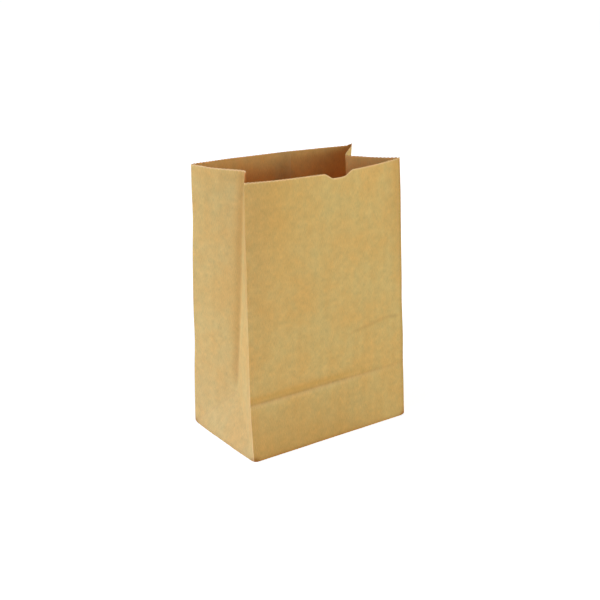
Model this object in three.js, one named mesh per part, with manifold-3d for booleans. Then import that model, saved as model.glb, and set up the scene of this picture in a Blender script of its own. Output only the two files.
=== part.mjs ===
import * as THREE from 'three';
import { mergeVertices } from 'three/addons/utils/BufferGeometryUtils.js';
import Module from 'manifold-3d';

// Brown paper lunch bag, standing open. One sheet of kraft paper is folded into a tube with a pleated
// gusset down each side, glued along a lap in the back panel, and closed by a square block bottom.
// Millimetres, +Z up. The front panel faces -Y, and the origin is the middle of the bottom, where it stands.

// The sheet
const bagWidth = 152; // front and back panels, fold to fold
const bagDepth = 87; // side gussets laid flat, and so the depth of the bottom
const bagHeight = 214; // bottom fold to top edge
const paperThickness = 0.12;

// How far the open bag's upright folds have moved in towards its middle, at the top edge
const frontLeftLean = 13.5;
const frontRightLean = 20.5;
const backLeftLean = 1.5;
const backRightLean = 4;

// How far the middle of each panel bows out past its two folds, at the top edge
const frontBow = 10;
const backBow = 6;

// Crease across the front panel, where the flat bag's bottom was folded up against it,
// and how far it has sprung in at each end
const creaseHeight = 46;
const creaseLeftPush = 5;
const creaseRightPush = 6;

const pleatRound = 5; // paper on each side of a pleat's fold that curves round it at the top
const footHeight = 1; // the lowest stretch of every wall is upright

// Top edge, cut by a toothed knife, with a thumb notch in the front panel
const toothPitch = 3;
const toothDepth = 0.5;
const notchWidth = 28.5;
const notchFloorWidth = 12;
const notchDepth = 4.7;
const notchCornerReach = 2; // stretch of the cut that each rounded corner takes up, either way
const notchOffset = 4.3; // notch centre, right of the panel's middle
const topBandHeight = 11; // band of wall between the last whole row of facets and the cut edge

// Glued lap down the back panel: the outer sheet's cut edge, then the inner one's
const lapWidth = 15;
const lapOffset = 12; // lap centre, right of the panel's middle as seen from the front
const lapSettle = 4; // paper that the outer sheet takes to come back into line
const cliffWidth = 0.04; // run of the step at a sheet's cut edge

// Block bottom: two long flaps overlap across the middle, outside an end flap from each gusset
const flapOverlap = 20;
const flapMargin = 0.15; // a flap's outline stops this far inside the bottom folds

// How finely the curved faces are divided
const panelStrips = 20;
const gussetStrips = 4;
const lowRows = 3;
const highRows = 12;
const cornerSteps = 4;

const paperColour = 0xc79d62;
const paperRoughness = 0.85;

const halfWidth = bagWidth / 2;
const halfDepth = bagDepth / 2;
const perimeter = 2 * (bagWidth + bagDepth);
const rightStart = bagWidth;
const backStart = bagWidth + bagDepth;
const leftStart = 2 * bagWidth + bagDepth;

const mix = THREE.MathUtils.lerp;
const clamp = THREE.MathUtils.clamp;
const mixPoints = (a, b, share) => a.map((value, axis) => mix(value, b[axis], share));

// Shares of the way up: from the foot to the top, from the foot to the crease, and from there to the top
const rise = (height) => Math.max(0, height - footHeight) / (bagHeight - footHeight);
const lowRise = (height) => clamp((height - footHeight) / (creaseHeight - footHeight), 0, 1);
const highRise = (height) => clamp((height - creaseHeight) / (bagHeight - creaseHeight), 0, 1);

// A panel that bows out draws its two folds together by the arc's extra length
const bowedHalfWidth = (bow) => halfWidth - (4 * bow * bow) / (3 * bagWidth);

// Front panel: hinged at its crease, leaning back at both folds and bowed out between them.
// across runs from -1 at the left fold to 1 at the right fold.
function frontPoint(across, height) {
  const low = lowRise(height);
  const high = highRise(height);
  const left = mix(creaseLeftPush * low, frontLeftLean, high);
  const right = mix(creaseRightPush * low, frontRightLean, high);
  const bow = frontBow * high;
  const inward = mix(left, right, (1 + across) / 2) - bow * (1 - across * across);
  return [across * bowedHalfWidth(bow), inward - halfDepth, height];
}

// Back panel: leaning forward at its folds and bowed out between them
function backPoint(across, height) {
  const up = rise(height);
  const bow = backBow * up;
  const inward = mix(backLeftLean, backRightLean, (1 + across) / 2) * up - bow * (1 - across * across);
  return [across * bowedHalfWidth(bow), halfDepth - inward, height];
}

// Fold of the pleat on one side (-1 left, 1 right), from the crease up. Each half of the gusset is a strip
// half as wide as the bottom is deep, so the nearer its outer folds come, the further the pleat runs in.
// The fold starts at the tip of a flat triangle that leans in from the bottom.
function pleatPoint(side, height) {
  const front = frontPoint(side, height);
  const back = backPoint(side, height);
  const inset = Math.sqrt(Math.max(0, halfDepth ** 2 - ((back[1] - front[1]) / 2) ** 2));
  const lowOpening = backPoint(side, creaseHeight)[1] - frontPoint(side, creaseHeight)[1];
  const tipHeight = Math.min(lowOpening / 2, creaseHeight);
  const top = tipHeight + bagHeight - halfDepth;
  const middle = mixPoints(front, back, 0.5);
  return [middle[0] - side * inset, middle[1], mix(tipHeight, top, highRise(height))];
}

// Share of each half gusset, from its outer fold, that lies before the triangle's sloping edge,
// or above the crease before the rounding of the pleat's fold
function gussetBreak(height) {
  if (height < creaseHeight) return lowRise(height);
  return 1 - (pleatRound / halfDepth) * Math.sqrt(highRise(height));
}

// Gusset: along runs from 0 at the front fold, by 1 at the pleat, to 2 at the back fold
function gussetPoint(side, along, height) {
  const fromFold = Math.min(along, 2 - along);
  const bend = gussetBreak(height);
  const frontFold = frontPoint(side, height);
  const backFold = backPoint(side, height);
  if (height < creaseHeight) {
    const tip = pleatPoint(side, creaseHeight);
    const foot = Math.min(height, footHeight);
    const frontSlope = mixPoints([side * halfWidth, -halfDepth, foot], tip, bend);
    const backSlope = mixPoints([side * halfWidth, halfDepth, foot], tip, bend);
    if (fromFold > bend) return mixPoints(frontSlope, backSlope, (along - bend) / (2 - 2 * bend));
    const share = bend > 0 ? fromFold / bend : 0;
    return along < 1 ? mixPoints(frontFold, frontSlope, share) : mixPoints(backFold, backSlope, share);
  }
  const tip = pleatPoint(side, height);
  if (fromFold <= bend) return mixPoints(along < 1 ? frontFold : backFold, tip, fromFold);
  const turn = (along - bend) / (2 - 2 * bend);
  const frontArm = mixPoints(mixPoints(frontFold, tip, bend), tip, turn);
  const backArm = mixPoints(tip, mixPoints(backFold, tip, bend), turn);
  return mixPoints(frontArm, backArm, turn);
}

// A place is a distance round the flat tube, anticlockwise from the front panel's left fold
function sheetPoint(place, height) {
  if (place <= rightStart) return frontPoint((2 * place) / bagWidth - 1, height);
  if (place <= backStart) return gussetPoint(1, (place - rightStart) / halfDepth, height);
  if (place <= leftStart) return backPoint(1 - (2 * (place - backStart)) / bagWidth, height);
  return gussetPoint(-1, 2 - (place - leftStart) / halfDepth, height);
}

// Distances of the paper's outer and inner faces from the middle of a single sheet. Between the two
// cut edges of the lap both sheets lie together, and past it the outer sheet settles back into line.
function paperFaces(place) {
  const half = paperThickness / 2;
  if (place <= backStart || place >= leftStart) return { outer: half, inner: -half };
  const x = halfWidth - (place - backStart);
  const outerEdge = lapOffset - lapWidth / 2;
  const innerEdge = lapOffset + lapWidth / 2;
  const lifted = paperThickness * clamp(1 - (x - innerEdge) / lapSettle, 0, 1);
  const past = (edge) => clamp((x - edge) / cliffWidth + 0.5, 0, 1);
  return { outer: half + lifted * past(outerEdge), inner: -half + lifted * past(innerEdge) };
}

const steps = (count) => Array.from({ length: count }, (_, step) => step / count);

// Places of the upright lines of facets. On a gusset they follow its creases, so they depend on the height.
function columnPlaces(height) {
  const bend = gussetBreak(height);
  const halfGusset = [
    ...steps(gussetStrips).map((share) => share * bend),
    ...steps(gussetStrips / 2).map((share) => mix(bend, 1, share)),
  ];
  const mirrored = halfGusset.slice(1).reverse().map((along) => 2 - along);
  const gusset = [...halfGusset, 1, ...mirrored].map((along) => along * halfDepth);
  const innerEdge = backStart + halfWidth - lapOffset - lapWidth / 2;
  const outerEdge = innerEdge + lapWidth;
  const lap = [innerEdge, outerEdge].flatMap((edge) => [edge - cliffWidth / 2, edge + cliffWidth / 2]);
  const panel = steps(panelStrips).map((share) => share * bagWidth);
  const back = panel
    .map((at) => backStart + at)
    .filter((at) => lap.every((edge) => Math.abs(at - edge) > 1));
  return [
    ...panel,
    ...gusset.map((at) => rightStart + at),
    ...[...back, ...lap, innerEdge - lapSettle].sort((a, b) => a - b),
    ...gusset.map((at) => leftStart + at),
  ];
}

// Outline of the thumb notch from left to right: distances along the edge and down from it
function notchOutline() {
  const half = notchWidth / 2;
  const floorHalf = notchFloorWidth / 2;
  const corners = [
    [-half - notchCornerReach, 0],
    [-half, 0],
    [-floorHalf, notchDepth],
    [floorHalf, notchDepth],
    [half, 0],
    [half + notchCornerReach, 0],
  ].map(([x, y]) => new THREE.Vector2(x, y));
  const outline = [];
  for (let i = 1; i < corners.length - 1; i += 1) {
    const corner = corners[i];
    const reach = (next) => next.clone().sub(corner).setLength(notchCornerReach).add(corner);
    const curve = new THREE.QuadraticBezierCurve(reach(corners[i - 1]), corner, reach(corners[i + 1]));
    outline.push(...curve.getPoints(cornerSteps));
  }
  return outline;
}

// The cut top edge as places with the height of the cut at each: teeth all round, and the smooth notch
function topEdge() {
  const faces = [
    { start: 0, length: bagWidth },
    { start: rightStart, length: bagDepth },
    { start: backStart, length: bagWidth },
    { start: leftStart, length: bagDepth },
  ];
  const edge = [];
  for (const { start, length } of faces) {
    const points = 2 * Math.round(length / toothPitch);
    for (let i = 0; i < points; i += 1) {
      edge.push({ place: start + (length * i) / points, height: bagHeight - toothDepth * (i % 2) });
    }
  }
  const centre = halfWidth + notchOffset;
  const clear = notchWidth / 2 + notchCornerReach;
  const toothed = edge.filter(({ place }) => Math.abs(place - centre) > clear);
  const lapLines = columnPlaces(bagHeight).filter((place) => place > backStart && place < leftStart);
  const extra = lapLines
    .filter((place) => toothed.every((point) => Math.abs(point.place - place) > cliffWidth / 4))
    .map((place) => ({ place, height: cutHeightAt(toothed, place) }));
  const notch = notchOutline().map(({ x, y }) => ({ place: centre + x, height: bagHeight - y }));
  return [...toothed, ...extra, ...notch].sort((a, b) => a.place - b.place);
}

// Height of the cut between two neighbouring points of it
function cutHeightAt(edge, place) {
  const next = edge.findIndex((point) => point.place > place);
  const [a, b] = [edge[next - 1], edge[next]];
  return mix(a.height, b.height, (place - a.place) / (b.place - a.place));
}

// Outer and inner faces of the paper round one closed line of the sheet. Each point moves square to
// the line, and at a fold along the bisector, so that the paper keeps its thickness.
function paperRing(line, level) {
  const points = line.map(({ place, height }) => sheetPoint(place, height));
  const count = points.length;
  const apart = (a, b) => Math.hypot(a[0] - b[0], a[1] - b[1]) > cliffWidth / 8;
  const neighbour = (index, way) => {
    let other = (index + way + count) % count;
    while (!apart(points[index], points[other])) other = (other + way + count) % count;
    return points[other];
  };
  const normal = (from, to) => {
    const length = Math.hypot(to[0] - from[0], to[1] - from[1]);
    return [(to[1] - from[1]) / length, (from[0] - to[0]) / length];
  };
  return line.map(({ place }, index) => {
    const point = points[index];
    const before = normal(neighbour(index, -1), point);
    const after = normal(point, neighbour(index, 1));
    const share = 1 + before[0] * after[0] + before[1] * after[1];
    const bisector = [(before[0] + after[0]) / share, (before[1] + after[1]) / share];
    const face = (distance) => [
      point[0] + bisector[0] * distance,
      point[1] + bisector[1] * distance,
      level ?? point[2],
    ];
    const { outer, inner } = paperFaces(place);
    return { place, outer: face(outer), inner: face(inner) };
  });
}

// The paper bag's walls and a flat floor two sheets thick, as one closed surface
function bagShell() {
  const triangles = [];
  const add = (a, b, c) => triangles.push(a, b, c);

  const strip = (a, b, c, face) => (face === 'outer' ? add(a[face], b[face], c[face]) : add(a[face], c[face], b[face]));

  // Joins two closed rings: point to point where they match, or else always stepping to the nearer place
  const join = (low, high, face) => {
    const at = (ring, index) => ring[index % ring.length].place + perimeter * Math.floor(index / ring.length);
    const matched = low.length === high.length;
    let i = 0;
    let j = 0;
    while (i < low.length || j < high.length) {
      const a = low[i % low.length];
      const b = high[j % high.length];
      const lowIsNearer = matched ? i === j : at(low, i + 1) <= at(high, j + 1);
      const stepLow = j >= high.length || (i < low.length && lowIsNearer);
      const c = stepLow ? low[(i + 1) % low.length] : high[(j + 1) % high.length];
      strip(a, c, b, face);
      if (stepLow) i += 1;
      else j += 1;
    }
  };

  const lowHeights = steps(lowRows).map((share) => mix(footHeight, creaseHeight, share));
  const bandHeight = bagHeight - topBandHeight;
  const highHeights = steps(highRows).map((share) => mix(creaseHeight, bandHeight, share ** 1.3));
  const wallHeights = [...lowHeights, ...highHeights, bandHeight];
  const rings = wallHeights.map((height) =>
    paperRing(columnPlaces(height).map((place) => ({ place, height }))),
  );
  const footLine = columnPlaces(footHeight).map((place) => ({ place, height: 0 }));
  const underside = paperRing(footLine, 0);
  const floor = paperRing(footLine, 2 * paperThickness);
  const top = paperRing(topEdge());

  const outerRings = [underside, ...rings, top];
  const innerRings = [floor, ...rings, top];
  for (let row = 1; row < outerRings.length; row += 1) {
    join(outerRings[row - 1], outerRings[row], 'outer');
    join(innerRings[row - 1], innerRings[row], 'inner');
  }
  top.forEach((point, index) => {
    const next = top[(index + 1) % top.length];
    add(point.outer, next.outer, next.inner);
    add(point.outer, next.inner, point.inner);
  });
  const fan = (ring, face, centre) =>
    ring.forEach((point, index) => {
      const next = ring[(index + 1) % ring.length];
      if (face === 'outer') add(centre, next.outer, point.outer);
      else add(centre, point.inner, next.inner);
    });
  fan(underside, 'outer', [0, 0, 0]);
  fan(floor, 'inner', [0, 0, 2 * paperThickness]);
  return triangles;
}

const wasm = await Module();
wasm.setup();

// A closed solid from a geometry, with the vertices that its faces share merged
function solidFrom(geometry) {
  geometry.deleteAttribute('normal');
  geometry.deleteAttribute('uv');
  const merged = mergeVertices(geometry, 1e-3);
  const corners = [...merged.index.array];
  const whole = steps(corners.length / 3)
    .map((_, face) => corners.slice(3 * face, 3 * face + 3))
    .filter(([a, b, c]) => a !== b && b !== c && c !== a);
  return new wasm.Manifold(
    new wasm.Mesh({
      numProp: 3,
      vertProperties: merged.attributes.position.array,
      triVerts: new Uint32Array(whole.flat()),
    }),
  );
}

function solidFromTriangles(triangles) {
  const geometry = new THREE.BufferGeometry();
  geometry.setAttribute('position', new THREE.Float32BufferAttribute(triangles.flat(), 3));
  return solidFrom(geometry);
}

// A flat layer with the given outline, between two heights
function layer(outline, low, high) {
  const shape = new THREE.Shape(outline.map(([x, y]) => new THREE.Vector2(x, y)));
  const geometry = new THREE.ExtrudeGeometry(shape, { depth: high - low, bevelEnabled: false });
  return solidFrom(geometry.translate(0, 0, low));
}

// The block bottom. The back panel's flap lies outermost and the front panel's over it, each with ends
// slanted at 45 degrees. The end flaps are innermost, and their corners show between the slants.
function foldBottom(shell) {
  const flapLength = halfDepth + flapOverlap / 2;
  const endX = halfWidth - flapMargin;
  const sideY = halfDepth - flapMargin;
  const lipX = halfWidth - flapLength;
  const tipX = halfWidth - halfDepth;
  const below = -paperThickness;
  const above = 3 * paperThickness;
  const outsideBackFlap = [
    [-endX, -sideY],
    [endX, -sideY],
    [endX, sideY],
    [lipX, -flapOverlap / 2],
    [-lipX, -flapOverlap / 2],
    [-endX, sideY],
  ];
  const behindFrontFlap = [
    [-lipX, flapOverlap / 2],
    [lipX, flapOverlap / 2],
    [lipX, sideY],
    [-lipX, sideY],
  ];
  let bottom = shell
    .subtract(layer(outsideBackFlap, below, paperThickness))
    .subtract(layer(behindFrontFlap, paperThickness, above));
  for (const side of [-1, 1]) {
    const endCorner = [
      [side * endX, -sideY],
      [side * tipX, 0],
      [side * endX, sideY],
    ];
    const endFlap = [
      [side * halfWidth, -halfDepth],
      [side * lipX, -halfDepth],
      [side * lipX, halfDepth],
      [side * halfWidth, halfDepth],
    ];
    bottom = bottom
      .add(layer(endFlap, paperThickness, 4 * paperThickness))
      .subtract(layer(endCorner, below, 2 * paperThickness));
  }
  return bottom;
}

function geometryFrom(solid) {
  const { vertProperties, triVerts } = solid.getMesh();
  const geometry = new THREE.BufferGeometry();
  geometry.setAttribute('position', new THREE.BufferAttribute(vertProperties, 3));
  geometry.setIndex(new THREE.BufferAttribute(triVerts, 1));
  const faceted = geometry.toNonIndexed();
  faceted.computeVertexNormals();
  return faceted;
}

const paper = new THREE.MeshStandardMaterial({
  color: paperColour,
  roughness: paperRoughness,
  metalness: 0,
});
const paperBag = new THREE.Mesh(geometryFrom(foldBottom(solidFromTriangles(bagShell()))), paper);
paperBag.name = 'paper_bag';

const lunchBag = new THREE.Group();
lunchBag.add(paperBag);
export default lunchBag;
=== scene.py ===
from math import cos, pi, radians, sin
from types import SimpleNamespace

import bpy
import numpy as np
from mathutils import Matrix, Vector


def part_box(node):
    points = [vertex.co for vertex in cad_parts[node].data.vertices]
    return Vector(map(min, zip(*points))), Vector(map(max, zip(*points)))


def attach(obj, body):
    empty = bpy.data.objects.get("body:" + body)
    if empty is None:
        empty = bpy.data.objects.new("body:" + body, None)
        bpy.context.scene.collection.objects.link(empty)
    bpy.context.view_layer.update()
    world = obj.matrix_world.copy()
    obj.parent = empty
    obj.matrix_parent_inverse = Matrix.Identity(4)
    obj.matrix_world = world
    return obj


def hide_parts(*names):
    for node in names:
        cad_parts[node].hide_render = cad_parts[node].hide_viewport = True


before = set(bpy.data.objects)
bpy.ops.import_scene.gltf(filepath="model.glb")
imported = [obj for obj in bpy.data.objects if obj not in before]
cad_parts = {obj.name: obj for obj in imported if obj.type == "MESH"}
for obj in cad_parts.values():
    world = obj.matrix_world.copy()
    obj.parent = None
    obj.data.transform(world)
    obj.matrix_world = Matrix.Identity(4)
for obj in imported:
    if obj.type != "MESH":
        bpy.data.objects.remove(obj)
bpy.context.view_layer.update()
mm = 0.001

# The brown paper lunch bag: one sheet of kraft paper, folded into a gusseted tube with a block bottom.
# Every size is in metres. The bag's own are those of the CAD model, apart from the notch's rounding, the
# folds round the bottom and the glue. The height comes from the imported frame.

bag = {
    "width": 152 * mm,  # panels, fold to fold
    "depth": 87 * mm,  # gussets laid flat, and the bottom's depth
    "height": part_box("paper_bag")[1].z,
    "paper": 0.12 * mm,
    "frontLeftLean": 13.5 * mm,  # how far each upright fold has moved in at the top
    "frontRightLean": 20.5 * mm,
    "backLeftLean": 1.5 * mm,
    "backRightLean": 4 * mm,
    "frontBow": 10 * mm,  # how far each panel's middle bows out at the top
    "backBow": 6 * mm,
    "crease": 46 * mm,  # height of the crease across the front
    "creaseLeftPush": 5 * mm,
    "creaseRightPush": 6 * mm,
    "pleatRound": 5 * mm,
    "foot": 1 * mm,
    "foldRadius": 0.7 * mm,  # of the folds round the bottom
}

cut = {
    "toothPitch": 3 * mm,
    "toothDepth": 0.5 * mm,
    "notchWidth": 28.5 * mm,
    "notchFloor": 12 * mm,
    "notchDepth": 4.7 * mm,
    "notchRound": 1.8 * mm,
    "notchOffset": 4.3 * mm,  # right of the front panel's middle
    "band": 11 * mm,  # stretch below the edge that follows the cut
    # places where the edge stands higher: mm from the front left fold, rise and reach
    "rises": [
        (152, 0.5, 12),
        (195.5, 3.2, 17),
        (239, 1.4, 2.1),
        (362, 0.4, 20),
        (391, 0.7, 12),
        (434.5, 1.9, 15),
    ],
}

lap = {
    "width": 15 * mm,
    "offset": 12 * mm,  # right of the back panel's middle, seen from the front
    "settle": 4 * mm,
    "gap": 0.01 * mm,  # glue between the two sheets
}

flaps = {
    "overlap": 20 * mm,
    "rampEnd": 14 * mm,  # where the stacked layers have come back down, from the bottom's middle line
    "rampStart": 11 * mm,
    "settle": 4 * mm,  # stretch of wall over which the stacked layers' height is lost
    "near": 0.2 * mm,  # a point this near a fold lies on it
}

halfWidth = bag["width"] / 2
halfDepth = bag["depth"] / 2
perimeter = 2 * (bag["width"] + bag["depth"])
backStart = bag["width"] + bag["depth"]
sheetStep = bag["paper"] + lap["gap"]
flapEnd = halfDepth + flaps["overlap"] / 2


def mixed(a, b, share):
    # a moved towards b by a share that may differ from point to point
    return a + (b - a) * np.asarray(share)[..., None]


def clamped(value):
    return np.clip(value, 0, 1)


def hump(distance, width):
    # a bell curve, 1 in the middle
    return np.exp(-0.5 * (distance / width) ** 2)


def pointAt(x, y, z):
    return np.stack(np.broadcast_arrays(x, y, z), axis=-1)


def unit(vectors):
    return vectors / np.maximum(np.linalg.norm(vectors, axis=-1, keepdims=True), 1e-12)


def lowRise(height):
    return clamped((height - bag["foot"]) / (bag["crease"] - bag["foot"]))


def highRise(height):
    return np.maximum(0, height - bag["crease"]) / (bag["height"] - bag["crease"])


def bowedHalf(bow):
    # a bowed panel draws its folds together by the arc's extra length
    return halfWidth - 4 * bow**2 / (3 * bag["width"])


def frontPoint(across, height):
    # y is the lean, mixed from fold to fold, less a parabola for the bow; hinged at the crease
    low, high = lowRise(height), highRise(height)
    left = bag["creaseLeftPush"] * low + (bag["frontLeftLean"] - bag["creaseLeftPush"]) * high
    right = bag["creaseRightPush"] * low + (bag["frontRightLean"] - bag["creaseRightPush"]) * high
    bow = bag["frontBow"] * high
    inward = left + (right - left) * (1 + across) / 2 - bow * (1 - across**2)
    return pointAt(across * bowedHalf(bow), inward - halfDepth, height)


def backPoint(across, height):
    # the same for the back, whose lean and bow grow evenly from the foot
    up = np.maximum(0, height - bag["foot"]) / (bag["height"] - bag["foot"])
    bow = bag["backBow"] * up
    lean = bag["backLeftLean"] + (bag["backRightLean"] - bag["backLeftLean"]) * (1 + across) / 2
    return pointAt(across * bowedHalf(bow), halfDepth - lean * up + bow * (1 - across**2), height)


def pleatPoint(side, height):
    # apex of the triangle whose equal sides are half a gusset and whose base joins the two folds
    front, back = frontPoint(side, height), backPoint(side, height)
    inset = np.sqrt(np.maximum(0, halfDepth**2 - ((back[..., 1] - front[..., 1]) / 2) ** 2))
    crease = bag["crease"]
    opening = backPoint(side, crease)[1] - frontPoint(side, crease)[1]
    tip = min(opening / 2, crease)
    middle = (front + back) / 2
    risen = tip + (bag["height"] - halfDepth) * highRise(height)
    return pointAt(middle[..., 0] - side * inset, middle[..., 1], risen)


def gussetPoint(side, along, height):
    # below the crease a flat triangle between two folded-back corners, above it two straight halves that
    # meet in the pleat, rounded there by a quadratic curve
    front, back = frontPoint(side, height), backPoint(side, height)
    fromFold = np.minimum(along, 2 - along)
    first = (along < 1)[..., None]
    low = lowRise(height)
    creaseTip = pleatPoint(side, np.full_like(height, bag["crease"]))
    foot = np.minimum(height, bag["foot"])
    frontSlope = mixed(pointAt(side * halfWidth, -halfDepth, foot), creaseTip, low)
    backSlope = mixed(pointAt(side * halfWidth, halfDepth, foot), creaseTip, low)
    inTriangle = mixed(frontSlope, backSlope, clamped((along - low) / np.maximum(2 - 2 * low, 1e-6)))
    toSlope = clamped(fromFold / np.maximum(low, 1e-6))
    corner = np.where(first, mixed(front, frontSlope, toSlope), mixed(back, backSlope, toSlope))
    lower = np.where((fromFold > low)[..., None], inTriangle, corner)
    bend = 1 - bag["pleatRound"] / halfDepth * np.sqrt(highRise(height))
    tip = pleatPoint(side, height)
    half = mixed(np.where(first, front, back), tip, fromFold)
    turn = clamped((along - bend) / np.maximum(2 - 2 * bend, 1e-6))
    frontArm = mixed(mixed(front, tip, bend), tip, turn)
    backArm = mixed(tip, mixed(back, tip, bend), turn)
    upper = np.where((fromFold <= bend)[..., None], half, mixed(frontArm, backArm, turn))
    return np.where((height < bag["crease"])[..., None], lower, upper)


# The sheet as a grid. A column's place is its distance round the tube, from the sheet's inner cut edge on
# the back panel, over both gussets and the front, to its outer cut edge on the lap.

grid = {
    "foldStep": 0.35 * mm,  # columns this near each fold keep it crisp
    "edgeStep": 0.3 * mm,
    "leastStep": 0.05 * mm,  # of two columns nearer together than this, one is left out
    "footRows": 30,  # from the foot to the crease
    "creaseRows": (-1.0, -0.5, 0.5, 1.0, 1.6, 2.4, 3.6, 5.4),  # mm above the crease
    "creaseEnd": 7.5 * mm,
    "highStep": 3.4 * mm,  # rows where nothing happens
    "wrinkleRows": (78 * mm, 0.9 * mm, 90 * mm),  # start, step and end of the rows across the wrinkle
    "topRows": [(1.8, 2), (0.7, 0.6), (0.3, 0)],  # mm of step, and how far below the top it ends
    "arcSteps": 3,
    "sharpAngle": 100,  # degrees; an edge folded further than this is not shaded smooth
    "innerPlace": (0, 0.3),  # metres from the outer face to the inner one on the flat sheet
    "mapMargin": (0.05, 0.1),
}

innerEdge = backStart + halfWidth - lap["offset"] - lap["width"] / 2
outerEdge = innerEdge + perimeter + lap["width"]
leftFold = perimeter - bag["depth"]
frontFold = perimeter
rightFold = perimeter + bag["width"]
backFold = perimeter + backStart
faceStarts = [backStart, leftFold, frontFold, rightFold, backFold]
faceLengths = [bag["width"], bag["depth"], bag["width"], bag["depth"], bag["width"]]


def columnPlaces():
    # two points for each tooth on every face, two more beside each fold, and some at the sheet's cut edges
    # and the lap's
    found = [np.array([innerEdge, innerEdge + grid["edgeStep"], outerEdge - grid["edgeStep"], outerEdge])]
    for start, length in zip(faceStarts, faceLengths):
        count = 2 * round(length / cut["toothPitch"])
        found.append(start + length * np.arange(count) / count)
    for fold in [leftFold, frontFold, rightFold, backFold]:
        found.append(fold + np.array([-1, 1]) * grid["foldStep"])
    settled = backFold + halfWidth - lap["offset"] - lap["width"] / 2
    found.append(settled + np.array([-lap["settle"], 0.0]))
    places = np.sort(np.concatenate(found))
    places = places[(places >= innerEdge) & (places <= outerEdge)]
    apart = np.diff(places, prepend=-1) > grid["leastStep"]
    return places[apart]


def spans(*stops):
    # row heights from the first stop to the last, evenly between each two, in the steps given
    rows = [
        np.linspace(low, high, max(2, round((high - low) / step) + 1))[:-1]
        for low, step, high in zip(stops[0:-2:2], stops[1::2], stops[2::2])
    ]
    return np.concatenate([*rows, [stops[-1]]])


def rowPath():
    # each row as (travel inwards under the bottom, height): flap, quarter circle, wall
    radius = bag["foldRadius"]
    cell = bag["width"] / (2 * round(bag["width"] / cut["toothPitch"]))
    flap = np.arange(1, int(flapEnd / cell) + 1) * cell
    flap = np.concatenate([flap, [flapEnd - grid["edgeStep"], flapEnd]])[::-1]
    angle = np.linspace(pi / 2, 0, grid["arcSteps"] + 1)
    arcTravel = radius * (1 - np.cos(angle))
    arcHeight = radius * (1 - np.sin(angle))
    foot, crease, top = bag["foot"], bag["crease"], bag["height"]
    low = foot + (crease - foot) * np.arange(grid["footRows"]) / (grid["footRows"] - 1)
    nearCrease = crease + np.array(grid["creaseRows"]) * mm
    stops = [crease + grid["creaseEnd"], grid["highStep"], *grid["wrinkleRows"], grid["highStep"]]
    stops.append(top - cut["band"])
    for step, below in grid["topRows"]:
        stops += [step * mm, top - below * mm]
    wall = np.sort(np.concatenate([low, nearCrease, spans(*stops)]))
    travel = np.concatenate([flap, arcTravel, np.zeros(len(wall))])
    height = np.concatenate([np.zeros(len(flap)), arcHeight, wall])
    return travel, height


def softRamp(value, rounding):
    # 0 for a value well below 0, the value itself well above, joined by a parabola
    return np.where(value > rounding, value, np.maximum(0, value + rounding) ** 2 / (4 * rounding))


def cutDepth(place):
    # how far the knife's cut lies below the nominal edge: a triangle wave, with a rounded trapezoid in front
    # for the notch, less the places that stand higher
    into = (place - frontFold) % perimeter
    starts = np.array([0, bag["width"], backStart, leftFold])
    face = np.searchsorted(starts, into, side="right") - 1
    lengths = np.array([bag["width"], bag["depth"], bag["width"], bag["depth"]])
    teeth = 2 * np.round(lengths / cut["toothPitch"])
    phase = (into - starts[face]) / lengths[face] * teeth[face]
    tooth = cut["toothDepth"] * (1 - np.abs(1 - phase % 2))
    aside = np.abs(into - halfWidth - cut["notchOffset"])
    slope = (cut["notchWidth"] - cut["notchFloor"]) / 2
    reach = cut["notchWidth"] / 2 - aside
    steep = cut["notchDepth"] / slope
    notch = steep * (softRamp(reach, cut["notchRound"]) - softRamp(reach - slope, cut["notchRound"]))
    risen = sum(up * mm * hump(into - along * mm, wide * mm) for along, up, wide in cut["rises"])
    return np.where(notch > 0, notch, tooth) - risen


# Relief that the flat folding and handling left in the paper

relief = {
    "waves": 14,
    "waveLengths": (22 * mm, 75 * mm),
    "waveHeight": 0.16 * mm,
    "waveSeed": 4,
    "waveHold": 2.5,  # a higher number keeps the waves' height nearer to the folds
    "creaseDepth": 0.35 * mm,
    "creaseWidth": 0.8 * mm,
    "creaseLoss": 0.65,  # share of the crease that is gone at the right
    "creaseRoll": 0.14 * mm,  # swelling just above the crease
    "rollPlace": (4 * mm, 2.5 * mm),  # above the crease, and width
    "rollHold": 3,  # the same for the swelling
    "wrinkle": [(93, 82.8), (105, 84.7), (133, 88.3), (142, 87.1)],  # mm from the left fold, and mm up
    "wrinkleDepth": 0.22 * mm,
    "wrinkleWidth": 1.1 * mm,
    # bends in three upright folds: height, how far to the right, and reach up and down, in mm
    "backLeftBends": [(172, 0.8, 14), (72, 0.8, 13)],
    "frontRightBends": [(188, 0.4, 14), (100, -0.4, 9), (68, 0.3, 8)],
    "backRightBends": [(214, 1.6, 14)],
    "bendReach": 9 * mm,
    "pleatCurl": 1.3 * mm,  # how far the left pleat's valley turns in at the top
    "curlReach": (9 * mm, 6 * mm),  # round the sheet, and down from the edge
    "cornerPush": (0.3 * mm, 0.55 * mm),  # how far the bottom's corners are worn inwards and up
    "cornerReach": 1.4 * mm,
    "cornerTuck": 1.3 * mm,  # how far the front right corner is pressed in to the left
    "tuckReach": (9 * mm, 20 * mm),  # round the corner, and up from the bottom
    "endBulge": 0.9 * mm,  # of the bottom folds under the gussets
    "bulgeReach": 14 * mm,
    "bulgeFrom": 0.6,  # share of the half width where it starts
}

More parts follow.
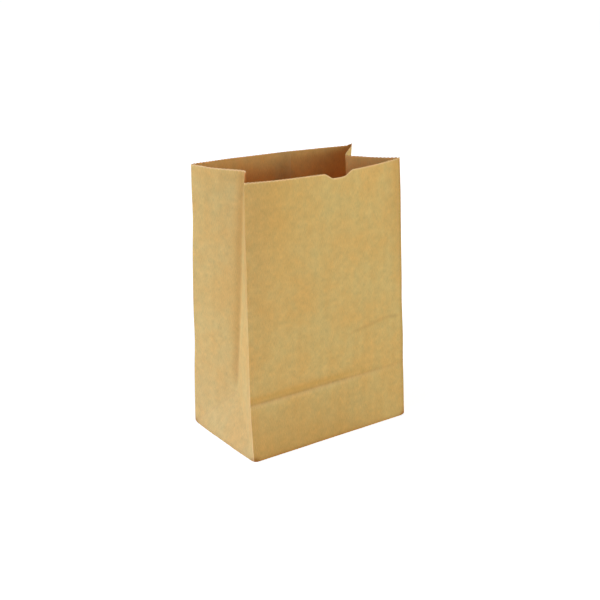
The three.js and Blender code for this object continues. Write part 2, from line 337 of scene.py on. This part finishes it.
ramps = {
    # each from 0 to 1: where it starts, and how far it reaches
    "creaseFade": (0.1, 0.7),  # shares of the half width, to the right of the middle
    "leftward": (-0.8, 0.7),  # the same, to the left
    "waves": (2 * mm, 25 * mm),  # heights, for these three
    "higher": (100 * mm, 80 * mm),
    "rightLine": (2 * mm, 4 * mm),
    "aboveCrease": (0, 12 * mm),
    "underCrease": (4 * mm, 8 * mm),
    "wrinkleStart": (-6 * mm, 14 * mm),  # to the right of its first point
    "wrinkleEnd": (0, 8 * mm),  # to the left of the front right fold
    "pastPleat": (0, 3 * mm),
}

# Painted shade and painted highlights on the paper, where light and shade fall round its folds, creases
# and bottom. Each line or patch is a bell curve: its strength, what a ramp adds to that, and where its
# middle lies and how wide it is, in mm.

shades = {
    # painted shade: round the bottom fold and its corners, and at the front crease, whose line is partly
    # darker crushed fibres
    "bottomFold": (0.38, 0, 0, 1.8),
    "bottomCorner": (1.0, 0, 0, 2.8),
    "creaseLine": (0.3, 0, 0, 0.9),
    "creaseRoll": (0, 0.15, 3.4, 2.2),
    # painted shade: on the front panel, at its foot and by its two folds
    "frontFoot": (0.07, 0.08, 0, 12),
    "frontLeft": (0.05, 0.11, 6, 14),
    "frontRight": (0, 0.2, 0, 11),
    "rightLine": (0.3, 0, -1.2, 0.9),
    # painted shade: in and beside the gussets' pleat, along their slants, and on the back panel near its
    # right fold
    "pleatLine": (0.22, 0, 0.6, 1.1),
    "pleatSide": (0.17, 0.14, 2.6, 2.5),
    "slantLine": (0.12, 0, 0, 1.1),
    "backRight": (0, 0.28, 0, 24),
    # painted highlights: below the front crease, along the left gusset's front fold, and low on the gussets
    "underCrease": (0.18, 0, -2.2, 1.1),
    "gussetEdge": (0.4, -0.24, -0.5, 0.6),
    "gussetFoot": (0.16, 0, 0, 45),
    # warm painted shade: in the roll above the crease, by the front's folds, at its foot, and in the pleat
    "rollWarmth": (0, 0.8, 3.4, 2.4),
    "leftWarmth": (0, 0.45, 26, 16),
    "rightWarmth": (0, 0.4, -7, 3),
    "footWarmth": (0, 0.4, 0, 12),
    "pleatWarmth": (0.4, 0, 3, 3),
}

# strengths of more painted shade: along the wrinkle, under the crease, and past the pleat
shadeShares = {
    "wrinkle": 0.2,
    "lowPanel": (0.01, 0.12),  # everywhere under the crease, and what the left adds
    "pastPleat": 0.24,
}

# pale rim along the cut edges: partly the lighter cut fibres, partly a painted highlight where the edge
# catches the light
frayAndEdgeLight = {
    "reach": 0.9 * mm,  # how far the pale cut edge fades into the paper
    "start": 1.5,  # its shade at the very edge, before that is held to 1
    "inside": 0.2,  # share of it on the inner face
}


def puckers(place, height, seed):
    # sum of cosine waves with random lengths, directions and phases, longer waves taller
    random = np.random.default_rng(seed)
    total = np.zeros_like(place)
    shortest, longest = relief["waveLengths"]
    for _ in range(relief["waves"]):
        length = shortest * (longest / shortest) ** random.random()
        angle = random.uniform(0, pi)
        phase = random.uniform(0, 2 * pi)
        turned = place * cos(angle) + height * sin(angle)
        total += length / longest * np.cos(2 * pi * turned / length + phase)
    return relief["waveHeight"] * total / np.sqrt(relief["waves"] / 8)  # 8 waves add up to the height


def rise(name, value):
    # 0 up to the ramp's start, then evenly up to 1 over its reach
    start, reach = ramps[name]
    return clamped((value - start) / reach)


def creaseFade(across):
    # the front crease is sharpest at the left and fades towards the right
    return 1 - relief["creaseLoss"] * rise("creaseFade", across)


def wrinkleShade(fromLeft, height):
    xs, zs = np.array(relief["wrinkle"]).T * mm
    line = np.interp(fromLeft, xs, zs)
    ends = rise("wrinkleStart", fromLeft - xs[0]) * rise("wrinkleEnd", bag["width"] - fromLeft)
    return ends * hump(height - line, relief["wrinkleWidth"])


def band(name, distance, ramp=0.0):
    # one of the shades, across the distance
    least, added, middle, width = shades[name]
    return (least + added * ramp) * hump(distance - middle * mm, width * mm)


def bends(name, height):
    # how far an upright fold is bent to the right at each height
    return sum(right * mm * hump(height - up * mm, reach * mm) for up, right, reach in relief[name])


def worn(points):
    # the bottom folds under the gussets bulge out by a parabola, one corner is pressed in, and each corner
    # of the bottom is pushed inwards and up by a bell curve of the distance from it
    x, y, z = np.moveaxis(points.copy(), -1, 0)
    side = np.sign(x)
    start = relief["bulgeFrom"]
    nearEnd = clamped((np.abs(x) / halfWidth - start) / (1 - start)) ** 2
    parabola = 1 - clamped(np.abs(y) / halfDepth) ** 2
    x = x + side * relief["endBulge"] * nearEnd * parabola * hump(z, relief["bulgeReach"])
    across, up = relief["cornerPush"]
    far = np.sqrt((np.abs(x) - halfWidth) ** 2 + (np.abs(y) - halfDepth) ** 2 + z**2)
    share = hump(far, relief["cornerReach"])
    aroundCorner, upFold = relief["tuckReach"]
    fromCorner = np.hypot(x - halfWidth, y + halfDepth)
    tuck = relief["cornerTuck"] * hump(fromCorner, aroundCorner) * hump(z, upFold)
    return pointAt(x - side * across * share - tuck, y - np.sign(y) * across * share, z + up * share)


def layerHeight(y, stacked):
    # height of a bottom layer, in steps of one sheet and its glue: the paper stacks up where the two long
    # flaps overlap
    ramp = (flaps["rampEnd"] - np.abs(y)) / (flaps["rampEnd"] - flaps["rampStart"])
    return (1.5 + stacked) * sheetStep + 2 * sheetStep * clamped(ramp)


def layOut():
    # where each point of the grid lies on the folded sheet
    rowTravel, rowHeight = rowPath()
    place, travel = np.meshgrid(columnPlaces(), rowTravel)
    height = np.broadcast_to(rowHeight[:, None], place.shape)
    at = SimpleNamespace(place=place, travel=travel)
    base = bag["height"] - cut["band"]
    at.top = bag["height"] - cutDepth(place)
    stretched = base + (height - base) * (at.top - base) / cut["band"]
    at.wall = np.where(height > base, stretched, height)
    at.under = (travel > 0) | (at.wall < bag["foldRadius"])

    at.onBack = (place < leftFold) | (place >= backFold)
    at.onLeft = (place >= leftFold) & (place < frontFold)
    at.onFront = (place >= frontFold) & (place < rightFold)
    at.onRight = (place >= rightFold) & (place < backFold)
    at.onEnd = at.onLeft | at.onRight
    at.backAcross = 1 - 2 * ((place - backStart) % perimeter) / bag["width"]
    at.frontAcross = 2 * (place - frontFold) / bag["width"] - 1
    at.across = np.where(at.onBack, at.backAcross, at.frontAcross)
    at.rightAlong = (place - rightFold) / halfDepth
    at.leftAlong = 2 - (place - leftFold) / halfDepth
    at.along = np.where(at.onRight, at.rightAlong, at.leftAlong)

    at.pleat = (at.along - 1) * halfDepth
    at.fromLeft = place - frontFold
    at.fromRight = place - rightFold
    at.fromCrease = at.wall - bag["crease"]
    at.crease = creaseFade(at.frontAcross) * np.where(at.onFront, 1.0, 0.0)
    at.wrinkle = np.where(at.onFront, wrinkleShade(at.fromLeft, at.wall), 0.0)
    return at


def standing(at):
    # the four walls, before anything has handled them
    return np.select(
        [at.onBack[..., None], at.onFront[..., None], at.onRight[..., None]],
        [
            backPoint(np.clip(at.backAcross, -1, 1), at.wall),
            frontPoint(np.clip(at.frontAcross, -1, 1), at.wall),
            gussetPoint(1, np.clip(at.rightAlong, 0, 2), at.wall),
        ],
        gussetPoint(-1, np.clip(at.leftAlong, 0, 2), at.wall),
    )


def handled(middle, outward, at):
    # waves, crease and wrinkle move the walls in and out; bends and the pleat's curl move folds sideways
    panel = at.onBack | at.onFront
    half = at.along % 1
    away = np.where(panel, 1 - at.across**2, 2 * half * (1 - half))
    once = np.where(at.onBack, backStart + (at.place - backStart) % perimeter, at.place)
    hold = clamped(away * relief["waveHold"])
    lift = puckers(once, at.wall, relief["waveSeed"]) * hold * rise("waves", at.wall)
    lift -= relief["creaseDepth"] * at.crease * hump(at.fromCrease, relief["creaseWidth"])
    rollHeight, rollWidth = relief["rollPlace"]
    roll = relief["creaseRoll"] * at.crease * hump(at.fromCrease - rollHeight, rollWidth)
    lift += roll * clamped(relief["rollHold"] * away)
    lift -= relief["wrinkleDepth"] * at.wrinkle
    middle = middle + outward * np.where(at.travel > 0, 0, lift)[..., None]
    bent = [(leftFold, "backLeftBends"), (rightFold, "frontRightBends"), (backFold, "backRightBends")]
    for fold, name in bent:
        middle[..., 0] += hump(at.place - fold, relief["bendReach"]) * bends(name, at.wall)
    curlAround, curlDown = relief["curlReach"]
    curl = relief["pleatCurl"] * hump(at.place - (leftFold + halfDepth), curlAround)
    middle[..., 0] += curl * hump(bag["height"] - at.wall, curlDown)
    return middle


def foldedUnder(middle, outward, at):
    # under the bottom each panel turns in, and past the 45 degree slants its corners are folded back
    travel, panel, near = at.travel, ~at.onEnd, flaps["near"]
    endward = np.where(panel, np.sign(at.across), np.where(at.onRight, 1.0, -1.0))
    frontward = np.where(at.onBack, 1.0, -1.0)
    fromEnd = np.where(panel, halfWidth * (1 - np.abs(at.across)), 0.0)
    x = endward * (halfWidth - np.maximum(fromEnd, travel))
    y = np.where(at.onEnd, at.pleat, frontward * (halfDepth - np.minimum(fromEnd, travel)))
    onFold = panel & (np.abs(fromEnd - travel) < near) & (travel > near)
    tucked = panel & (travel > fromEnd + near)
    onTube = panel & (fromEnd < near)
    stacked = np.select([onFold, onTube, at.onEnd, tucked], [0.5, 1.5, 2.0, 1.0], 0.0)
    rest = layerHeight(y, stacked)
    rest = np.where(at.onBack & ~onTube, (1.5 + stacked) * sheetStep, rest)
    settle = clamped(1 - (at.wall - bag["foldRadius"]) / flaps["settle"])
    under = at.under[..., None]
    middle = np.where(under, pointAt(x, y, at.wall), middle)
    middle[..., 2] += rest * settle

    # the outer face looks down on the flaps, up on the folded-back corners and sideways in their folds
    down = np.array([0.0, 0.0, -1.0])
    sideways = pointAt(endward, -frontward, 0.0) / np.sqrt(2)
    inwards = pointAt(0.0, -frontward, 0.0)
    facing = np.where(tucked[..., None], -down, down)
    facing = np.where(onFold[..., None], sideways, facing)
    facing = np.where(onTube[..., None], inwards, facing)
    turned = clamped(1 - at.wall / bag["foldRadius"])
    pastArc = travel > bag["foldRadius"] * 1.01  # past the quarter circle, with slack for rounding
    share = np.where(pastArc, 1.0, np.sqrt(clamped(1 - (1 - turned) ** 2)))
    return middle, unit(np.where(under, mixed(outward, facing, share), outward))


# the cut edges' pale rim is partly lighter cut fibres and partly painted highlight
def cutEdgeShade(at):
    # how near each point is to a cut edge; the top edge is far from everything under the bottom
    toTop = (at.top - at.wall) + at.travel * 1e3
    toSides = np.minimum(np.abs(at.place - innerEdge), np.abs(at.place - outerEdge))
    distance = np.minimum.reduce([toTop, toSides, flapEnd - at.travel])
    return clamped(frayAndEdgeLight["start"] - distance / frayAndEdgeLight["reach"])


# painted shade where shade falls: round the bottom, along the crease, wrinkle, folds and pleat, and on the
# lower front; the crease line is partly its darker crushed fibres
def darkShade(at):
    fromBottom = np.where(at.travel > 0, at.travel, at.wall)
    folds = [leftFold, frontFold, rightFold, backFold]
    toCorner = np.min([np.abs(at.place - fold) for fold in folds], axis=0)
    slant = np.abs(halfDepth - at.pleat - at.wall)
    above = rise("aboveCrease", at.fromCrease)
    higher = rise("higher", at.wall)
    leftward = rise("leftward", -at.frontAcross)
    low, lowLeft = shadeShares["lowPanel"]
    allOver = [
        band("bottomFold", fromBottom),
        band("bottomCorner", np.hypot(toCorner, fromBottom)),
        at.crease * band("creaseLine", at.fromCrease),
        at.crease * band("creaseRoll", at.fromCrease, leftward),
        shadeShares["wrinkle"] * at.wrinkle,
    ]
    front = [
        (low + lowLeft * leftward) * rise("underCrease", -at.fromCrease),
        band("frontFoot", at.wall, leftward),
        band("frontLeft", at.fromLeft, higher) * above,
        band("frontRight", at.fromRight, higher),
        band("rightLine", at.fromRight) * rise("rightLine", at.wall),
    ]
    gusset = [
        band("pleatLine", at.pleat) * above,
        band("pleatSide", at.pleat, higher) * above,
        shadeShares["pastPleat"] * higher * rise("pastPleat", -at.pleat),
        band("slantLine", slant) * (1 - above),
    ]
    back = band("backRight", at.place - backFold, higher)
    local = np.select([at.onFront, at.onEnd], [sum(front), sum(gusset)], back)
    return clamped(sum(allOver) + local)


# painted highlights below the crease and on the gussets
def paleShade(at):
    gusset = band("gussetEdge", at.fromLeft, rise("higher", at.wall)) + band("gussetFoot", at.wall)
    return clamped(at.crease * band("underCrease", at.fromCrease) + np.where(at.onEnd, gusset, 0.0))


# warm painted shade on the front panel and in the pleat
def warmShade(at):
    higher = rise("higher", at.wall)
    leftward = rise("leftward", -at.frontAcross)
    front = [
        at.crease * band("rollWarmth", at.fromCrease, leftward),
        band("leftWarmth", at.fromLeft, higher),
        band("rightWarmth", at.fromRight, higher),
        band("footWarmth", at.wall, leftward),
    ]
    gusset = band("pleatWarmth", at.pleat) * rise("aboveCrease", at.fromCrease)
    return clamped(np.select([at.onFront, at.onEnd], [sum(front), gusset], 0.0))


def cellSplit(at):
    # each cell is split along the crease that crosses it: 45 degree slants under the bottom, and the
    # gussets' triangles
    rightEnd = ~at.onEnd & (np.where(at.onBack, -at.across, at.across) > 0)
    climbing = (at.onRight & (at.rightAlong < 1)) | (at.onLeft & (at.leftAlong > 1))
    return np.where(at.under, rightEnd, climbing)[:-1, :-1]


def buildSheet():
    # the middle of the paper on the grid, which way its outer face looks, its place on the flat sheet and
    # its shades
    at = layOut()
    middle = standing(at)
    outward = unit(np.cross(np.gradient(middle, axis=1), np.gradient(middle, axis=0)))
    middle, outward = foldedUnder(handled(middle, outward, at), outward, at)

    # the outer sheet of the lap lies one sheet further out and settles back past the inner cut edge
    past = at.place - (outerEdge - lap["width"])
    lapped = np.where(at.place > backFold, clamped(1 + past / lap["settle"]), 0.0)
    middle = worn(middle + outward * (sheetStep * lapped)[..., None])

    flat = pointAt(at.place - innerEdge, np.where(at.travel > 0, -at.travel, at.wall), 0.0)
    # painted shade, painted highlights and warm painted shade for the material, and the cut edges' pale rim,
    # which is partly painted highlight
    marks = {
        "cutEdge": cutEdgeShade(at),
        "paintedShade": darkShade(at),
        "paintedHighlight": paleShade(at),
        "warmPaintedShade": warmShade(at),
    }
    return middle, outward, flat, marks, cellSplit(at)


def sheetFaces(rows, columns, slash):
    # two triangles a cell on the outer face, the same turned over on the inner one, and a rim all round
    index = np.arange(rows * columns).reshape(rows, columns)
    a, b, c, d = index[:-1, :-1], index[:-1, 1:], index[1:, 1:], index[1:, :-1]
    one = np.where(slash[..., None], np.stack([a, b, c], -1), np.stack([a, b, d], -1))
    two = np.where(slash[..., None], np.stack([a, c, d], -1), np.stack([b, c, d], -1))
    outer = np.concatenate([one.reshape(-1, 3), two.reshape(-1, 3)])
    inner = outer[:, ::-1] + rows * columns
    loop = np.concatenate([index[0, :-1], index[:-1, -1], index[-1, :0:-1], index[:0:-1, 0]])
    ahead = np.roll(loop, -1)
    back = rows * columns
    rimOne = np.stack([ahead, loop, loop + back], -1)
    rimTwo = np.stack([ahead, loop + back, ahead + back], -1)
    return np.concatenate([outer, inner, rimOne, rimTwo])


def makeBag():
    middle, outward, flat, marks, slash = buildSheet()
    rows, columns = middle.shape[:2]
    half = outward * bag["paper"] / 2
    points = np.concatenate([(middle + half).reshape(-1, 3), (middle - half).reshape(-1, 3)])
    faces = sheetFaces(rows, columns, slash)
    mesh = bpy.data.meshes.new("paperBag")
    mesh.from_pydata(points.tolist(), [], faces.tolist())
    mesh.polygons.foreach_set("use_smooth", np.ones(len(mesh.polygons), dtype=bool))
    mesh.set_sharp_from_angle(angle=radians(grid["sharpAngle"]))
    for name, values in marks.items():
        attribute = mesh.attributes.new(name, "FLOAT", "POINT")
        inner = values * (frayAndEdgeLight["inside"] if name == "cutEdge" else 1)
        both = np.concatenate([values.ravel(), inner.ravel()])
        attribute.data.foreach_set("value", both.astype(np.float32))
    # the flat sheet, in metres, with the inner face laid out above the outer one
    outerFlat = flat.reshape(-1, 3)[:, :2] + grid["mapMargin"]
    flatTwice = np.concatenate([outerFlat, outerFlat + grid["innerPlace"]])
    corners = np.zeros(len(mesh.loops), dtype=np.int32)
    mesh.loops.foreach_get("vertex_index", corners)
    sheetMap = mesh.uv_layers.new(name="flatSheet")
    sheetMap.data.foreach_set("uv", flatTwice[corners].astype(np.float32).ravel())
    mesh.update()
    piece = bpy.data.objects.new("paperBag", mesh)
    bpy.context.scene.collection.objects.link(piece)
    print(f"bag: {rows} by {columns} points, {len(mesh.polygons)} triangles")
    return piece


# Kraft paper. Colours are linear.

kraft = {
    "yellow": (0.782, 0.672, 0.244),
    "orange": (0.808, 0.622, 0.200),
    # pale rim of the cut edges: lighter cut fibres and painted highlight
    "edgeColour": (0.97, 0.84, 0.42),
    "edgeShare": 0.9,
    # colour of the painted highlights
    "highlightColour": (0.95, 0.84, 0.47),
    # dark of the paper's fibre flecks, and of the painted shade
    "darkColour": (0.52, 0.24, 0.045),
    # colour of the warm painted shade
    "warmShadeColour": (0.81, 0.585, 0.155),
    "throughShare": 0.42,  # of the light that passes each face instead of turning back
    "throughTint": (1.13, 0.63, 0.44),
    "roughness": 0.8,
    "specular": 0.2,
    "cloudSize": (24 * mm, 34 * mm),
    "cloudShare": 1.3,  # how far the clouds swing the paper from yellow to orange
    "flockSize": (6 * mm, 8 * mm),
    "flockShare": 0.5,
    "toneSize": 6 * mm,
    "toneShare": 0.13,
    "fibreSize": (0.5 * mm, 3 * mm),
    "fibreShare": 0.22,
    "streakSize": (4 * mm, 150 * mm),
    "streakShare": 0.05,
    "fleckSize": (0.35 * mm, 1.8 * mm),
    "fleckRange": (0.66, 0.76),  # how rare the flecks are: the noise above the first number
    "fleckShare": 0.2,
    "bump": 0.025 * mm,
}


def paperMaterial():
    material = bpy.data.materials.new("kraftPaper")
    material.use_nodes = True
    tree = material.node_tree
    nodes, links = tree.nodes, tree.links
    shader = nodes["Principled BSDF"]
    shader.inputs["Roughness"].default_value = kraft["roughness"]
    shader.inputs["Specular IOR Level"].default_value = kraft["specular"]
    sheetPlace = nodes.new("ShaderNodeUVMap")
    sheetPlace.uv_map = "flatSheet"

    def noise(size, detail=2.0):
        # noise whose lumps are so wide across the sheet and so long up it
        wide, long = size if isinstance(size, tuple) else (size, size)
        mapping = nodes.new("ShaderNodeMapping")
        mapping.inputs["Scale"].default_value = (1 / wide, 1 / long, 1)
        texture = nodes.new("ShaderNodeTexNoise")
        texture.inputs["Scale"].default_value = 1
        texture.inputs["Detail"].default_value = detail
        links.new(sheetPlace.outputs["UV"], mapping.inputs["Vector"])
        links.new(mapping.outputs["Vector"], texture.inputs["Vector"])
        return texture.outputs["Fac"]

    def maths(operation, a, b):
        node = nodes.new("ShaderNodeMath")
        node.operation = operation
        for socket, value in zip(node.inputs, (a, b)):
            if isinstance(value, (int, float)):
                socket.default_value = value
            else:
                links.new(value, socket)
        return node.outputs["Value"]

    def mixColour(share, a, b):
        node = nodes.new("ShaderNodeMix")
        node.data_type = "RGBA"
        for socket, value in ((node.inputs["Factor"], share), (node.inputs["A"], a), (node.inputs["B"], b)):
            if isinstance(value, tuple):
                socket.default_value = (*value, 1)
            elif isinstance(value, (int, float)):
                socket.default_value = value
            else:
                links.new(value, socket)
        return node.outputs["Result"]

    def attribute(name):
        node = nodes.new("ShaderNodeAttribute")
        node.attribute_name = name
        return node.outputs["Fac"]

    def swing(texture, share):
        return maths("MULTIPLY", maths("SUBTRACT", texture, 0.5), 2 * share)

    cloud = swing(noise(kraft["cloudSize"]), kraft["cloudShare"])
    flock = swing(noise(kraft["flockSize"], 1), kraft["flockShare"])
    hue = maths("ADD", maths("ADD", cloud, flock), 0.5)
    fibre = noise(kraft["fibreSize"], 4)
    tone = 1.0
    for texture, share in [
        (noise(kraft["toneSize"], 3), "toneShare"),
        (noise(kraft["streakSize"]), "streakShare"),
        (fibre, "fibreShare"),
    ]:
        tone = maths("ADD", swing(texture, kraft[share]), tone)
    fleck = nodes.new("ShaderNodeMapRange")
    fleck.inputs["From Min"].default_value, fleck.inputs["From Max"].default_value = kraft["fleckRange"]
    fleck.inputs["To Max"].default_value = kraft["fleckShare"]
    links.new(noise(kraft["fleckSize"], 1), fleck.inputs["Value"])
    plain = mixColour(hue, kraft["yellow"], kraft["orange"])
    # warm painted shade, then the paper's own dark flecks, over the paper's colour
    warmed = mixColour(attribute("warmPaintedShade"), plain, kraft["warmShadeColour"])
    flecked = mixColour(fleck.outputs["Result"], warmed, kraft["darkColour"])
    # painted shade over the paper's colour
    dark = mixColour(attribute("paintedShade"), flecked, kraft["darkColour"])
    # painted highlights over the paper's colour
    pale = mixColour(attribute("paintedHighlight"), dark, kraft["highlightColour"])
    # the cut edges' pale rim, partly lighter fibres and partly painted highlight
    edgeFrayAndLight = maths("MULTIPLY", attribute("cutEdge"), kraft["edgeShare"])
    edged = mixColour(edgeFrayAndLight, pale, kraft["edgeColour"])
    shaded = nodes.new("ShaderNodeVectorMath")
    shaded.operation = "SCALE"
    links.new(edged, shaded.inputs[0])
    links.new(tone, shaded.inputs["Scale"])
    links.new(shaded.outputs["Vector"], shader.inputs["Base Color"])

    bump = nodes.new("ShaderNodeBump")
    bump.inputs["Distance"].default_value = kraft["bump"]
    bump.inputs["Strength"].default_value = 1
    links.new(fibre, bump.inputs["Height"])
    links.new(bump.outputs["Normal"], shader.inputs["Normal"])

    through = nodes.new("ShaderNodeBsdfTranslucent")
    tinted = nodes.new("ShaderNodeVectorMath")
    tinted.operation = "MULTIPLY"
    tinted.inputs[1].default_value = kraft["throughTint"]
    links.new(shaded.outputs["Vector"], tinted.inputs[0])
    links.new(tinted.outputs["Vector"], through.inputs["Color"])
    paper = nodes.new("ShaderNodeMixShader")
    paper.inputs["Fac"].default_value = kraft["throughShare"]
    links.new(shader.outputs["BSDF"], paper.inputs[1])
    links.new(through.outputs["BSDF"], paper.inputs[2])
    links.new(paper.outputs["Shader"], nodes["Material Output"].inputs["Surface"])
    return material


paperBag = makeBag()
paperBag.data.materials.append(paperMaterial())
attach(paperBag, "root")
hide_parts("paper_bag")
print("bag: done")

# Studio: a plain pale floor, low soft lamps round the bag, and a white surround

studio = {
    "floorSize": 24.0,
    "floorColour": (0.86, 0.86, 0.86),
    "floorWhite": (0.8, 1.0),  # plain white that the camera sees in the floor, near the bag and far off
    "whiteReach": (0.12, 0.5),
    "roomLight": 0.03,
    "lamps": [
        # name, place, aimed at, size, watts, colour
        ("leftLamp", (-1.25, 0.10, 0.26), (0, 0, 0.08), (1.2, 0.8), 20.9, (0.75, 0.79, 1.0)),
        ("leftBackLamp", (-1.00, 0.90, 0.20), (0, 0, 0.08), (1.2, 0.5), 6.9, (0.75, 0.79, 1.0)),
        ("frontLamp", (0.10, -1.35, 0.30), (0, 0, 0.08), (1.4, 0.8), 9.6, (1.0, 1.0, 1.0)),
        ("rightFrontLamp", (1.00, -1.00, 0.20), (0, 0, 0.08), (1.2, 0.5), 10.6, (1.0, 1.0, 1.0)),
        ("rightBackLamp", (1.00, 0.90, 0.20), (0, 0, 0.08), (1.2, 0.5), 1.6, (1.0, 1.0, 1.0)),
    ],
}


def seenShare(nodes, links):
    # 1 for rays that show the surface to the camera, straight or in a mirror or glass, and 0 for rays that
    # light things, such as those that paper lets through
    path = nodes.new("ShaderNodeLightPath")
    clear = nodes.new("ShaderNodeMath")
    clear.operation = "SUBTRACT"
    links.new(path.outputs["Is Transmission Ray"], clear.inputs[0])
    links.new(path.outputs["Is Diffuse Ray"], clear.inputs[1])
    total = path.outputs["Is Camera Ray"]
    for seen in [path.outputs["Is Glossy Ray"], clear.outputs["Value"]]:
        node = nodes.new("ShaderNodeMath")
        node.operation = "MAXIMUM"
        links.new(total, node.inputs[0])
        links.new(seen, node.inputs[1])
        total = node.outputs["Value"]
    return total


def makeFloor():
    half = studio["floorSize"] / 2
    mesh = bpy.data.meshes.new("floor")
    corners = [(-half, -half, 0), (half, -half, 0), (half, half, 0), (-half, half, 0)]
    mesh.from_pydata(corners, [], [(0, 1, 2, 3)])
    floor = bpy.data.objects.new("floor", mesh)
    bpy.context.scene.collection.objects.link(floor)
    material = bpy.data.materials.new("paleFloor")
    material.use_nodes = True
    nodes, links = material.node_tree.nodes, material.node_tree.links
    nodes.remove(nodes["Principled BSDF"])
    matt = nodes.new("ShaderNodeBsdfDiffuse")
    matt.inputs["Color"].default_value = (*studio["floorColour"], 1)
    white = nodes.new("ShaderNodeEmission")
    place = nodes.new("ShaderNodeTexCoord")
    length = nodes.new("ShaderNodeVectorMath")
    length.operation = "LENGTH"
    links.new(place.outputs["Object"], length.inputs[0])
    fade = nodes.new("ShaderNodeMapRange")
    fade.interpolation_type = "SMOOTHSTEP"
    fade.inputs["From Min"].default_value, fade.inputs["From Max"].default_value = studio["whiteReach"]
    fade.inputs["To Min"].default_value, fade.inputs["To Max"].default_value = studio["floorWhite"]
    links.new(length.outputs["Value"], fade.inputs["Value"])
    whiteness = nodes.new("ShaderNodeMath")
    whiteness.operation = "MULTIPLY"
    links.new(fade.outputs["Result"], whiteness.inputs[0])
    links.new(seenShare(nodes, links), whiteness.inputs[1])
    links.new(whiteness.outputs["Value"], white.inputs["Strength"])
    both = nodes.new("ShaderNodeAddShader")
    links.new(matt.outputs["BSDF"], both.inputs[0])
    links.new(white.outputs["Emission"], both.inputs[1])
    links.new(both.outputs["Shader"], nodes["Material Output"].inputs["Surface"])
    material.cycles.emission_sampling = "NONE"  # the white is for the eye alone, so it is no lamp
    mesh.materials.append(material)


def makeRoom():
    world = bpy.data.worlds.new("room")
    bpy.context.scene.world = world
    world.use_nodes = True
    nodes, links = world.node_tree.nodes, world.node_tree.links
    background = nodes["Background"]
    background.inputs["Color"].default_value = (1, 1, 1, 1)
    strength = nodes.new("ShaderNodeMapRange")
    strength.inputs["To Min"].default_value = studio["roomLight"]
    links.new(seenShare(nodes, links), strength.inputs["Value"])
    links.new(strength.outputs["Result"], background.inputs["Strength"])


def makeLamps():
    for name, place, target, size, watts, colour in studio["lamps"]:
        light = bpy.data.lights.new(name, "AREA")
        light.shape = "RECTANGLE"
        light.size, light.size_y = size
        light.energy = watts
        light.color = colour
        lamp = bpy.data.objects.new(name, light)
        lamp.location = place
        lamp.rotation_euler = (Vector(target) - Vector(place)).to_track_quat("-Z", "Y").to_euler()
        bpy.context.scene.collection.objects.link(lamp)


makeFloor()
makeRoom()
makeLamps()
print("studio: done")

# Camera, from a fit of the bag's edges in the photo

shot = {
    "azimuth": -36.306,  # degrees; 0 looks along +Y
    "elevation": 19.261,
    "roll": 0.776,
    "distance": 826.781 * mm,
    "aside": (-2.576 * mm, -3.13 * mm),
    "focal": 1039.0,  # pixels, for an image 600 pixels wide
    "imageWidth": 600,
    "sensor": 36.0,
}


def makeCamera():
    a, e, r = (radians(shot[name]) for name in ("azimuth", "elevation", "roll"))
    back = Vector((sin(a) * cos(e), -cos(a) * cos(e), sin(e)))
    level = Vector((cos(a), sin(a), 0))
    upright = back.cross(level)
    right = level * cos(r) + upright * sin(r)
    up = upright * cos(r) - level * sin(r)
    centre = Vector((0, 0, bag["height"] / 2))
    place = centre + back * shot["distance"] + right * shot["aside"][0] + up * shot["aside"][1]
    lens = bpy.data.cameras.new("camera")
    lens.sensor_width = shot["sensor"]
    lens.lens = shot["sensor"] * shot["focal"] / shot["imageWidth"]
    camera = bpy.data.objects.new("camera", lens)
    turned = Matrix((right, up, back)).transposed().to_4x4()
    camera.matrix_world = Matrix.Translation(place) @ turned
    bpy.context.scene.collection.objects.link(camera)
    bpy.context.scene.camera = camera


makeCamera()
bpy.context.scene.view_settings.view_transform = "Standard"
print("camera: done")
